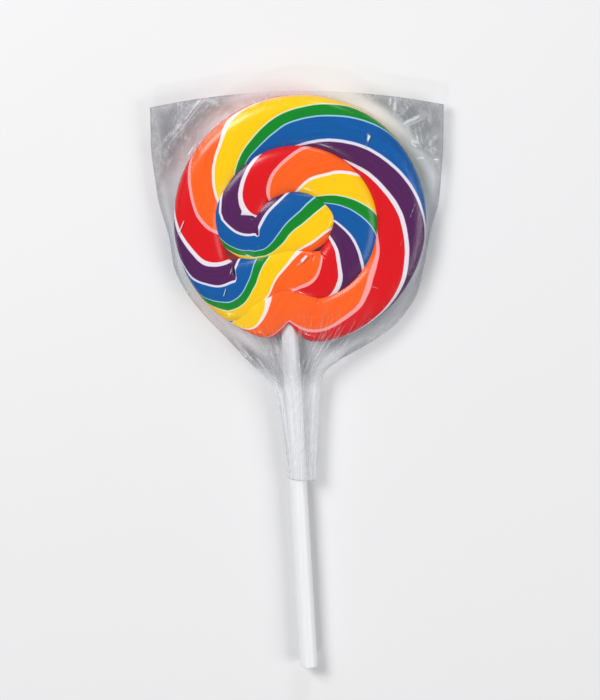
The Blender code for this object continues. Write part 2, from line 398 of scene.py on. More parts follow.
@dataclass(frozen=True)
class FilmFinish:
    """Clear crinkled film: grey where it hangs loose (its haze and painted shade), white where it
    is gathered, with painted highlights on creases and pleats.
    """

    # grey of the loose film: partly its own haze, partly painted shade
    hazy_and_shaded_tone: Colour = linear(104, 107, 114)
    # white of the gathered neck, also painted on as highlights
    white: Colour = linear(244, 246, 250)
    roughness: float = 0.09

    @staticmethod
    def contour(tree: Tree, vector: Socket, width: float, detail: float = 2.0) -> Socket:
        """Thin wandering lines where a noise crosses its middle value."""
        away = (tree.noise(vector, 1.0, detail, 0.5) - 0.5).absolute()
        return 1 - away.ramp(width * 0.25, width)

    def material(self) -> bpy.types.Material:
        """Mixes clear film and its mirror gloss with a grey and white body (haze, painted shade and
        painted highlights), by the sheet's own attributes.
        """
        material, tree, place = new_material("clear_film")
        # the sheet's attributes: haze with painted shade and painted glare, neck whiteness with
        # painted glare, place across the sheet, pull towards the neck
        haze, gathered, across, pull = (
            tree.add("ShaderNodeAttribute", {"attribute_name": name}, {}, "Fac")
            for name in ("haze", "gathered", "across", "pull")
        )
        parts = tree.add("ShaderNodeSeparateXYZ", {}, {0: place})
        down = parts.output("Y")
        fan_place = tree.add(
            "ShaderNodeCombineXYZ", {}, {"X": across * 11.0, "Y": down * 60.0, "Z": 2.0}
        )
        # painted highlights: thin white streaks along the pleats that fan out from the neck
        painted_pleat_shine = self.contour(tree, fan_place, 0.030, 3.0) * pull**1.6
        soft_fan = tree.noise(fan_place, 0.7, 3, 0.6)
        # painted highlights: short thin white lines strewn over the film; they raise the white body
        # and also go a little into the bump
        steep = self.contour(tree, tree.stretched(place, (120, 15, 40), 0.35), 0.012, 0.0)
        flat = self.contour(tree, tree.stretched(place, (110, 14, 40), 1.9), 0.010, 0.0)
        spots = tree.noise(place, 150, 2, 0.5)
        others = tree.noise(tree.stretched(place, (1, 1, 1), 1.0), 115, 2, 0.5)
        painted_glint_lines = (steep * spots.ramp(0.62, 0.70)).at_least(flat * others.ramp(0.63, 0.71))
        crinkle = tree.noise(tree.stretched(place, (260, 150, 200), 0.4), 1.0, 3, 0.6)
        ridges = (crinkle - 0.5).absolute() * (1.6 - gathered)
        ridges = ridges + soft_fan * pull * 1.2 + painted_glint_lines * 0.5
        normal = tree.bump(ridges, 0.00040)
        rim = tree.add("ShaderNodeLayerWeight", {}, {"Blend": 0.30, "Normal": normal}, "Facing")
        veil = soft_fan.ramp(0.35, 0.75) * pull * 0.11
        # share of the grey and white body: haze and painted shade, raised by the painted highlights
        cover = haze * (0.75 + (crinkle - 0.5).absolute() * 1.3) + veil
        cover = cover.at_least(painted_glint_lines * 0.85).at_least(painted_pleat_shine * 0.34).at_most(0.94)
        gloss = (rim**2.0) * 0.60 + 0.014
        factor = 1 - (1 - cover) * (1 - gloss)
        # white for the gathered neck and painted white for the highlights; grey elsewhere (haze and
        # painted shade)
        white_and_painted_shine = gathered.at_least(painted_glint_lines).at_least(painted_pleat_shine * 0.9).at_most(1.0)
        colour = tree.mix(white_and_painted_shine, self.hazy_and_shaded_tone, self.white)
        body = (cover / factor.at_least(0.001)).at_most(1.0)
        shader = tree.add(
            "ShaderNodeBsdfPrincipled",
            {},
            {
                "Base Color": tree.mix(body, (1.0, 1.0, 1.0), colour),
                "Metallic": 1 - body,
                "Roughness": body * 0.14 + self.roughness,
                "Normal": normal,
            },
        )
        clear = tree.add("ShaderNodeBsdfTransparent", {}, {"Color": (0.985, 0.988, 0.992, 1.0)})
        tree.surface(tree.add("ShaderNodeMixShader", {}, {0: factor, 1: clear, 2: shader}))
        return material


@dataclass(frozen=True)
class FloorFinish:
    """Plain pale surface."""

    colour: Colour = (0.80, 0.80, 0.81)

    def material(self) -> bpy.types.Material:
        """Matt and even, with a trace of mottle."""
        material, tree, place = new_material("pale_floor")
        mottle = tree.noise(place, 40, 2)
        colour = tree.mix(mottle * 0.05, self.colour, (0.7, 0.7, 0.72))
        tree.surface(
            tree.add("ShaderNodeBsdfPrincipled", {}, {"Base Color": colour, "Roughness": 0.85})
        )
        return material


class Slot(Enum):
    """The record's material slots."""

    CANDY = "candy"
    STICK = "stick_plastic"
    FILM = "clear_film"


def new_piece(name: str, mesh: bpy.types.Mesh, material: bpy.types.Material) -> bpy.types.Object:
    """An object at the origin with this mesh, which gets the finish if it has none."""
    piece = bpy.data.objects.new(name, mesh)
    bpy.context.scene.collection.objects.link(piece)
    if not mesh.materials:
        mesh.materials.append(material)
    return piece


def hand_over(piece: bpy.types.Object, slot: Slot, *nodes: str) -> None:
    """Ties a finished piece to the frame and reports it.

    Args:
        piece: the finished piece.
        slot: the record's material slot that it belongs to; not used.
        nodes: the CAD nodes that it stands for.
    """
    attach(piece, "root")
    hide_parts(*nodes)
    piece.data.calc_loop_triangles()
    log.info("%s: %d triangles", piece.name, len(piece.data.loop_triangles))


def plain_mesh(piece: bpy.types.Object, name: str) -> bpy.types.Mesh:
    """The evaluated result of a piece's modifiers, as a mesh of its own."""
    graph = bpy.context.evaluated_depsgraph_get()
    mesh = bpy.data.meshes.new_from_object(
        piece.evaluated_get(graph), preserve_all_data_layers=True, depsgraph=graph
    )
    mesh.name = name
    return mesh


def finish_modifiers(piece: bpy.types.Object) -> None:
    """Puts the modifiers' result in the piece's own mesh and removes them."""
    old = piece.data
    piece.data = plain_mesh(piece, old.name)
    piece.modifiers.clear()
    bpy.data.meshes.remove(old)


def loose_points(name: str, places: np.ndarray) -> bpy.types.Object:
    """A helper object of loose points."""
    mesh = bpy.data.meshes.new(name)
    mesh.from_pydata(places.tolist(), [], [])
    item = bpy.data.objects.new(name, mesh)
    bpy.context.scene.collection.objects.link(item)
    return item


def drop(item: bpy.types.Object) -> None:
    """Removes a helper object and its mesh."""
    mesh = item.data
    bpy.data.objects.remove(item, do_unlink=True)
    bpy.data.meshes.remove(mesh)


def mesh_from(bm: bmesh.types.BMesh, name: str, sharp: float = 40.0) -> bpy.types.Mesh:
    """A mesh with its doubles merged, facing outwards, smooth up to an angle in degrees."""
    bmesh.ops.remove_doubles(bm, verts=bm.verts, dist=MERGE_DISTANCE)
    bmesh.ops.recalc_face_normals(bm, faces=bm.faces)
    mesh = bpy.data.meshes.new(name)
    bm.to_mesh(mesh)
    bm.free()
    mesh.shade_smooth()
    mesh.set_sharp_from_angle(angle=math.radians(sharp))
    return mesh


def round_bar(
    name: str,
    radius: float,
    depth: float,
    segments: int,
    place: Matrix,
    material: bpy.types.Material,
) -> bpy.types.Object:
    """A cylinder along its own Z, set in its place.

    Args:
        name: the helper object's name.
        radius: in metres.
        depth: its length in metres.
        segments: sides of the round.
        place: where its middle goes and how it is turned.
        material: its finish.

    Returns:
        The helper object.
    """
    bm = bmesh.new()
    bmesh.ops.create_cone(
        bm, cap_ends=True, segments=segments, radius1=radius, radius2=radius, depth=depth
    )
    bmesh.ops.transform(bm, matrix=place, verts=bm.verts)
    return new_piece(name, mesh_from(bm, name), material)


@dataclass
class Turn:
    """One circular turn of the coil, in disc radii and degrees, run clockwise."""

    centre: tuple[float, float]
    radius: float
    half_width: float
    start: float
    end: float

    def points(self, step: float) -> Iterator[tuple[float, float, float]]:
        """Points along the arc, each with the rope's half width."""
        count = max(1, round(abs(self.end - self.start) / step))
        for number in range(count + 1):
            angle = math.radians(self.start + (self.end - self.start) * number / count)
            yield (
                self.centre[0] + self.radius * math.cos(angle),
                self.centre[1] + self.radius * math.sin(angle),
                self.half_width,
            )


@dataclass
class StickLine:
    """The stick's middle line, which leans a little."""

    entry_x: float = -0.0030
    lean: float = math.radians(3.2)

    def at(self, y: float) -> Vector:
        """The middle of the stick at this y."""
        drop_below = -DISC_RADIUS - y
        return Vector((self.entry_x + drop_below * math.tan(self.lean), y, MIDDLE_Z))


@dataclass
class Candy:
    """The coiled rope, in disc radii unless a comment says metres."""

    line: StickLine
    core: tuple[tuple[float, float, float], ...] = (
        (0.262, -0.09, 0.20),
        (0.16, -0.045, 0.215),
        (0.03, -0.01, 0.235),
        (-0.12, -0.02, 0.24),
    )
    fold: Turn = field(default_factory=lambda: Turn((-0.32, 0.06), 0.175, 0.205, 272, 172))
    inner: Turn = field(default_factory=lambda: Turn((-0.036, -0.036), 0.462, 0.185, 143, -52))
    crossing: tuple[tuple[float, float, float], ...] = (
        (0.10, -0.435, 0.195),
        (-0.06, -0.40, 0.18),
        (-0.22, -0.42, 0.185),
        (-0.37, -0.495, 0.22),
        (-0.51, -0.545, 0.25),
        (-0.64, -0.505, 0.225),
        (-0.74, -0.395, 0.195),
    )
    outer: Turn = field(default_factory=lambda: Turn((-0.0125, -0.0125), 0.8125, 0.19, 197, -70))
    tail: tuple[tuple[float, float, float], ...] = (
        (0.13, -0.805, 0.20),
        (-0.03, -0.765, 0.235),
        (-0.17, -0.765, 0.235),
        (-0.31, -0.795, 0.195),
        (-0.43, -0.825, 0.12),
        (-0.56, -0.825, 0.05),
    )
    # where the pale lines cross: turn of the stripes, then lengths at inner edge, crown, outer edge
    pale_lines: tuple[tuple[float, float, float, float], ...] = (
        (0.0, -0.05, 0.05, 0.20),
        (1.1, 0.15, 0.25, 0.65),
        (2.75, 0.40, 0.70, 0.95),
        (3.75, 0.95, 1.00, 1.25),
        (4.9, 1.20, 1.35, 1.55),
        (6.0, 1.60, 1.75, 1.90),
        (7.1, 1.85, 2.00, 2.15),
        (8.75, 2.20, 2.35, 2.50),
        (9.75, 2.45, 2.60, 2.70),
        (10.9, 2.70, 2.80, 2.95),
        (12.0, 3.00, 3.10, 3.35),
        (13.1, 3.15, 3.30, 3.55),
        (14.75, 3.40, 3.60, 3.75),
        (15.75, 3.75, 3.85, 4.10),
        (18.0, 4.40, 4.65, 4.90),
        (19.65, 4.95, 5.35, 5.85),
        (21.75, 6.15, 6.65, 7.15),
        (22.9, 7.00, 7.45, 8.20),
        (23.4, 7.95, 8.10, 8.35),
        (24.0, 8.20, 8.30, 8.50),
        (25.1, 8.50, 8.55, 8.80),
    )
    twist_lines: tuple[float, float, float] = (0.75, 1.5, 2.3)  # sixths of the way round
    section_power: float = 3.3
    section_points: int = 52
    fine_points: int = 4001
    usual_half_size: tuple[float, float] = (7.3, 4.5)  # millimetres, across and up
    curve_steps: int = 24
    twist_rounding: float = 0.06
    unevenness: float = 0.05
    sharp_angle: float = 38.0  # degrees
    end_power: float = 2.4
    overlap: float = 1.09
    least_bend: float = 0.93
    end_length: float = 0.20
    end_rounding: float = 0.09
    full_width: float = 0.18
    station_step: float = 0.022
    end_stations: int = 15
    arc_step: float = 16.0
    pressed_height: float = 0.0028  # metres
    pressed_radius: float = 0.86
    pressed_segments: int = 96
    bore_radius: float = 0.0029  # metres
    bore_depth: float = 0.0423  # metres
    bore_overrun: float = 0.004  # metres past the rim
    bore_segments: int = 40
    dent_depth: float = 0.0066  # metres
    dent_width: float = 0.0036  # metres
    dent_reach: float = 0.0150  # metres
    dent_shift: float = 0.0004  # metres to the left of the stick
    dent_sharpness: float = 1.25
    dent_fade: float = 1.6

    def route(self) -> list[Vector]:
        """The points that shape the coil, from the middle to the tail."""
        points = [
            *self.core,
            *self.fold.points(self.arc_step),
            *self.inner.points(self.arc_step),
            *self.crossing,
            *self.outer.points(self.arc_step),
            *self.tail,
        ]
        return [Vector(point) for point in points]

    def fine_line(self) -> tuple[np.ndarray, np.ndarray]:
        """The smooth curve through the route, finely divided, and the length up to each point."""
        points = self.route()
        points = [2 * points[0] - points[1], *points, 2 * points[-1] - points[-2]]
        fine: list[Vector] = []
        for number in range(1, len(points) - 2):
            before, start, end, after = points[number - 1 : number + 3]
            for part in range(self.curve_steps):
                t = part / self.curve_steps
                fine.append(
                    (
                        2 * start
                        + (end - before) * t
                        + (2 * before - 5 * start + 4 * end - after) * t**2
                        + (3 * start - before - 3 * end + after) * t**3
                    )
                    / 2
                )
        fine.append(points[-2])
        line = np.array(fine)
        steps = np.hypot(*np.diff(line[:, :2], axis=0).T)
        return line, np.concatenate([[0], np.cumsum(steps)])

    def end_scale(self, along: np.ndarray, length: float, rounding: float) -> np.ndarray:
        """How much of the section is left at a distance from one of the rope's ends."""
        inside = np.clip(np.minimum(along, length - along) / rounding, 0, 1)
        return (1 - (1 - inside) ** self.end_power) ** (1 / self.end_power)

    def stations(self) -> dict[str, np.ndarray]:
        """The rope's sections: where each one is, how wide and high, and how its stripes lie."""
        line, lengths = self.fine_line()
        length = lengths[-1]
        quarter = math.pi / 2 * np.linspace(0, 1, self.end_stations + 1)[:-1]
        ends = self.end_length * (1 - np.cos(quarter))
        count = round((length - 2 * self.end_length) / self.station_step)
        middle = np.linspace(self.end_length, length - self.end_length, count)
        along = np.concatenate([ends, middle, length - ends[::-1]])
        x, y, half = (np.interp(along, lengths, line[:, axis]) for axis in range(3))
        forward = np.array([np.gradient(x, along), np.gradient(y, along)])
        forward /= np.hypot(*forward)
        left = np.array([-forward[1], forward[0]])
        heading = np.unwrap(np.arctan2(forward[1], forward[0]))
        bend = np.gradient(heading, along)

        def room(side: np.ndarray) -> np.ndarray:
            out = x * side[0] + y * side[1]
            return np.sqrt(np.maximum(out**2 + 1 - x**2 - y**2, 0)) - out

        wide = half * self.overlap
        inner_bend = self.least_bend / np.maximum(np.abs(bend), 1e-6)
        width_left = np.minimum(wide, room(left))
        width_right = np.minimum(wide, room(-left))
        width_left = np.where(bend > 0, np.minimum(width_left, inner_bend), width_left)
        width_right = np.where(bend < 0, np.minimum(width_right, inner_bend), width_right)
        narrowing = self.end_scale(along, length, self.end_length)
        lowering = self.end_scale(along, length, self.end_rounding)
        return {
            "place": np.array([x, y, np.zeros(len(x))]).T * DISC_RADIUS,
            "left": np.array([left[0], left[1], np.zeros(len(x))]).T,
            "width_left": width_left * narrowing * DISC_RADIUS,
            "width_right": width_right * narrowing * DISC_RADIUS,
            "lowering": lowering * np.sqrt(np.minimum(half / self.full_width, 1)),
            "along": along,
            **self.twist_curves(along),
        }

    def twist_curves(self, along: np.ndarray) -> dict[str, np.ndarray]:
        """The curve of the stripes' turn across the rope at each section.

        Args:
            along: lengths along the rope.

        Returns:
            The curve's start, slope and bend, for a place in sixths of the way round.
        """
        turn, *lengths = np.array(self.pale_lines).T
        lines = [tuple(zip(line, turn)) for line in lengths]
        turns = np.array([smoothed(along, line, self.twist_rounding) for line in lines])
        curve = np.linalg.solve(np.vander(self.twist_lines, 3, increasing=True), turns)
        return {"turn_start": curve[0], "turn_slope": curve[1], "turn_bend": curve[2]}

    def station_object(self) -> bpy.types.Object:
        """The stations as loose points with attributes, for the loft to read."""
        stations = self.stations()
        item = loose_points("stations", stations["place"])
        for name, values in stations.items():
            if name == "place":
                continue
            kind = "FLOAT_VECTOR" if values.ndim == 2 else "FLOAT"
            attribute = item.data.attributes.new(name, kind, "POINT")
            key = "vector" if values.ndim == 2 else "value"
            attribute.data.foreach_set(key, values.astype(np.float32).ravel())
        return item

    def section_object(self) -> bpy.types.Object:
        """The rope's section as loose points: across, up and the share of the way round."""
        power = 2 / self.section_power
        # points at equal distances round the outline, from the inner edge over the crown
        fine = np.linspace(0, 2 * math.pi, self.fine_points)
        fine_across = -np.sign(np.cos(fine)) * np.abs(np.cos(fine)) ** power
        fine_up = np.sign(np.sin(fine)) * np.abs(np.sin(fine)) ** power
        wide, high = self.usual_half_size
        steps = np.hypot(np.diff(fine_across) * wide, np.diff(fine_up) * high)
        lengths = np.concatenate([[0], np.cumsum(steps)])
        share = np.linspace(0, lengths[-1], self.section_points + 1)
        across = np.interp(share, lengths, fine_across)
        up = np.interp(share, lengths, fine_up)
        return loose_points("section", np.array([across, up, share / lengths[-1]]).T)

    def loft_tree(self) -> bpy.types.NodeTree:
        """Geometry Nodes that loft the section along the stations."""
        group = bpy.data.node_groups.new("loft_rope", "GeometryNodeTree")
        face = group.interface
        face.new_socket("Geometry", in_out="INPUT", socket_type="NodeSocketGeometry")
        for name, kind in (
            ("Section", "NodeSocketObject"),
            ("Crown Height", "NodeSocketFloat"),
            ("Underside Depth", "NodeSocketFloat"),
            ("Middle Height", "NodeSocketFloat"),
            ("Unevenness", "NodeSocketFloat"),
            ("Finish", "NodeSocketMaterial"),
        ):
            face.new_socket(name, in_out="INPUT", socket_type=kind)
        face.new_socket("Geometry", in_out="OUTPUT", socket_type="NodeSocketGeometry")
        tree = Tree(group)
        given = tree.add("NodeGroupInput")
        section = tree.add(
            "GeometryNodeObjectInfo", {}, {"Object": given.output("Section")}, "Geometry"
        )
        rows, columns = (
            tree.add("GeometryNodeAttributeDomainSize", {}, {"Geometry": points}, "Point Count")
            for points in (given, section)
        )
        grid = tree.add(
            "GeometryNodeMeshGrid",
            {},
            {"Size X": 1.0, "Size Y": 1.0, "Vertices X": rows, "Vertices Y": columns},
            "Mesh",
        )
        index = tree.add("GeometryNodeInputIndex")
        column = index % columns
        row = ((index - column) / columns).math("ROUND")

        def named(name: str, kind: str) -> Socket:
            return tree.add("GeometryNodeInputNamedAttribute", {"data_type": kind}, {"Name": name})

        def read(source: Socket, kind: str, value: Socket, number: Socket) -> Socket:
            return tree.add(
                "GeometryNodeSampleIndex",
                {"data_type": kind, "domain": "POINT"},
                {"Geometry": source, "Value": value, "Index": number},
            )

        def station(name: str, kind: str = "FLOAT") -> Socket:
            return read(given, kind, named(name, kind), row)

        position = tree.add("GeometryNodeInputPosition")
        middle = read(given, "FLOAT_VECTOR", position, row)
        outline = tree.add(
            "ShaderNodeSeparateXYZ", {}, {0: read(section, "FLOAT_VECTOR", position, column)}
        )
        across, up, share = outline, outline.output("Y"), outline.output("Z")
        to_left = across.math("GREATER_THAN", 0.0)
        width = station("width_left") * to_left + station("width_right") * (1 - to_left)
        sideways = tree.add(
            "ShaderNodeVectorMath",
            {"operation": "SCALE"},
            {0: station("left", "FLOAT_VECTOR"), "Scale": across * width},
        )
        flat = tree.add("ShaderNodeVectorMath", {"operation": "ADD"}, {0: middle, 1: sideways})
        lumps = tree.add(
            "ShaderNodeTexNoise",
            {"noise_dimensions": "3D"},
            {"Vector": flat, "Scale": 70.0, "Detail": 1.0},
        )
        uneven = (lumps - 0.5) * given.output("Unevenness")
        height = up * (given.output("Crown Height") * (uneven + 1)) * station("lowering")
        height = height.at_least(given.output("Underside Depth") * -1)
        raised = tree.add("ShaderNodeCombineXYZ", {}, {"Z": height + given.output("Middle Height")})
        place = tree.add("ShaderNodeVectorMath", {"operation": "ADD"}, {0: flat, 1: raised})
        start, slope, bend = (station(name) for name in ("turn_start", "turn_slope", "turn_bend"))
        whole, half = float(STRIPE_COUNT), STRIPE_COUNT / 2
        round_share = share * whole
        upper = start + round_share * (slope + round_share * bend)
        edge = start + half * (slope + half * bend)
        lower = edge + (start - whole - edge) * (round_share / half - 1)
        below = share.math("GREATER_THAN", 0.5)
        twist = upper * (1 - below) + lower * below
        stripe = tree.add("ShaderNodeCombineXYZ", {}, {"X": station("along"), "Y": twist})
        stored = tree.add(
            "GeometryNodeStoreNamedAttribute",
            {"data_type": "FLOAT_VECTOR", "domain": "POINT"},
            {"Geometry": grid, "Name": "stripe_point", "Value": stripe},
        )
        moved = tree.add("GeometryNodeSetPosition", {}, {"Geometry": stored, "Position": place})
        by_point = named("stripe_point", "FLOAT_VECTOR")
        mapped = tree.add(
            "GeometryNodeStoreNamedAttribute",
            {"data_type": "FLOAT2", "domain": "CORNER"},
            {"Geometry": moved, "Name": "stripe", "Value": by_point},
        )
        bare = tree.add(
            "GeometryNodeRemoveAttribute", {}, {"Geometry": mapped, "Name": "stripe_point"}
        )
        closed = tree.add(
            "GeometryNodeMergeByDistance", {}, {"Geometry": bare, "Distance": MERGE_DISTANCE}
        )
        real = tree.add("GeometryNodeRealizeInstances", {}, {"Geometry": closed})
        finished = tree.add(
            "GeometryNodeSetMaterial", {}, {"Geometry": real, "Material": given.output("Finish")}
        )
        tree.add("NodeGroupOutput", {}, {0: finished})
        return group

    def rope_mesh(self, material: bpy.types.Material) -> bpy.types.Mesh:
        """The lofted rope as a plain closed mesh."""
        stations, section = self.station_object(), self.section_object()
        group = self.loft_tree()
        loft = stations.modifiers.new("loft", "NODES")
        loft.node_group = group
        sizes = {
            "Section": section,
            "Crown Height": CROWN_HEIGHT,
            "Underside Depth": UNDERSIDE_DEPTH,
            "Middle Height": MIDDLE_Z,
            "Unevenness": self.unevenness,
            "Finish": material,
        }
        for item in group.interface.items_tree:
            if item.in_out == "INPUT" and item.name in sizes:
                loft[item.identifier] = sizes[item.name]
        mesh = plain_mesh(stations, "rope")
        drop(stations)
        drop(section)
        bm = bmesh.new()
        bm.from_mesh(mesh)
        bmesh.ops.remove_doubles(bm, verts=bm.verts, dist=MERGE_DISTANCE)
        bmesh.ops.recalc_face_normals(bm, faces=bm.faces)
        bm.to_mesh(mesh)
        bm.free()
        return mesh

    def pressed_middle(self, material: bpy.types.Material) -> bpy.types.Object:
        """A flat disc that fills the gaps between the turns."""
        radius, depth = self.pressed_radius * DISC_RADIUS, 2 * self.pressed_height
        place = Matrix.Translation((0, 0, MIDDLE_Z))
        return round_bar("pressed_middle", radius, depth, self.pressed_segments, place, material)

    def bore(self, material: bpy.types.Material) -> bpy.types.Object:
        """The hole that the stick was pushed into."""
        start = self.line.at(-DISC_RADIUS + self.bore_depth)
        end = self.line.at(-DISC_RADIUS - self.bore_overrun)
        turn = (end - start).to_track_quat("Z", "Y").to_matrix().to_4x4()
        place = Matrix.Translation((start + end) / 2) @ turn
        depth = (end - start).length
        return round_bar("stick_bore", self.bore_radius, depth, self.bore_segments, place, material)

    def dent(self, mesh: bpy.types.Mesh) -> None:
        """Pushes the rim in where the stick entered, and drags the stripes with it."""
        place = np.empty(len(mesh.vertices) * 3, np.float32)
        mesh.vertices.foreach_get("co", place)
        place = place.reshape(-1, 3).astype(float)
        x, y = place[:, 0], place[:, 1]
        depth = DISC_RADIUS + y
        aside = np.abs((x - self.line.entry_x + self.dent_shift) / self.dent_width)
        near = np.exp(-(aside**self.dent_sharpness))
        fade = np.clip(1 - depth / self.dent_reach, 0, 1) ** self.dent_fade
        place[:, 1] = y + self.dent_depth * near * fade
        mesh.vertices.foreach_set("co", place.astype(np.float32).ravel())
        mesh.update()

    def boolean(self, piece: bpy.types.Object, other: bpy.types.Object, operation: str) -> None:
        """Joins or cuts with another object, which is then removed."""
        modifier = piece.modifiers.new(operation.lower(), "BOOLEAN")
        modifier.operation = operation
        modifier.object = other
        modifier.use_self = operation == "UNION"
        modifier.material_mode = "TRANSFER"
        finish_modifiers(piece)
        drop(other)

    def build(self) -> bpy.types.Object:
        """The finished candy."""
        sugar, pressed = CandyFinish().material(), PressedFinish().material()
        candy = new_piece("swirl_candy", self.rope_mesh(sugar), sugar)
        self.boolean(candy, self.pressed_middle(pressed), "UNION")
        self.dent(candy.data)
        self.boolean(candy, self.bore(sugar), "DIFFERENCE")
        candy.data.shade_smooth()
        candy.data.set_sharp_from_angle(angle=math.radians(self.sharp_angle))
        hand_over(candy, Slot.CANDY, "candy_swirl")
        return candy


@dataclass
class Stick:
    """The plastic stick, in metres."""

    line: StickLine
    radius: float = 0.0027
    in_candy: float = 0.042
    below_disc: float = 0.105
    edge: float = 0.0004
    segments: int = 72
    rings: int = 120
    edge_rings: int = 5
    unevenness: float = 0.00002
    waves: tuple[float, float] = (410.0, 167.0)  # radians for each metre
    even_end: float = 0.004

    def build(self) -> bpy.types.Object:
        """A round bar with eased ends that isn't quite even."""
        top, bottom = -DISC_RADIUS + self.in_candy, -DISC_RADIUS - self.below_disc
        stretch = math.cos(self.line.lean)
        length = (top - bottom) / stretch
        angles = np.linspace(0, math.pi / 2, self.edge_rings)
        ease_at = self.edge * (1 - np.cos(angles))
        ease_radius = self.radius - self.edge * (1 - np.sin(angles))
        middle = np.linspace(self.edge, length - self.edge, self.rings)[1:-1]
        at = np.concatenate([ease_at, middle, (length - ease_at)[::-1]])
        radius = np.concatenate([ease_radius, np.full(len(middle), self.radius), ease_radius[::-1]])
        short, long = self.waves
        ripple = np.sin(at * short) + np.sin(at * long + 1)
        radius += self.unevenness * ripple * eased(at, 0, self.even_end)
        forward = (self.line.at(bottom) - self.line.at(top)).normalized()
        side = Vector((-forward.y, forward.x, 0))
        bm = bmesh.new()
        rings = []
        for place, size in zip(at, radius):
            centre = self.line.at(top) + forward * place
            ring = []
            for number in range(self.segments):
                angle = math.tau * number / self.segments
                out = side * math.cos(angle) + Vector((0, 0, 1)) * math.sin(angle)
                ring.append(bm.verts.new(centre + out * min(size, self.radius)))
            rings.append(ring)
        for first, second in zip(rings, rings[1:]):
            for number in range(self.segments):
                follow = (number + 1) % self.segments
                bm.faces.new((first[number], first[follow], second[follow], second[number]))
        bm.faces.new(rings[0])
        bm.faces.new(rings[-1])
        stick = new_piece("lolly_stick", mesh_from(bm, "lolly_stick"), StickFinish().material())
        hand_over(stick, Slot.STICK, "stick")
        return stick


class Side(Enum):
    """The two sheets of the bag."""

    FRONT = 1
    BACK = -1


@dataclass(frozen=True)
class CreasePlan:
    """How a family of folds is strewn over the sheet, in metres."""

    count: int
    area: tuple[float, float, float, float]
    length: float
    width: float
    height: float
    direction: float
    scatter: float

    def centre(self, rng: np.random.Generator) -> tuple[float, float]:
        """A random middle for one fold."""
        low_x, high_x, low_y, high_y = self.area
        return rng.uniform(low_x, high_x), rng.uniform(low_y, high_y)

    def angle(self, rng: np.random.Generator) -> float:
        """A random direction for one fold."""
        return self.direction + rng.uniform(-self.scatter, self.scatter)


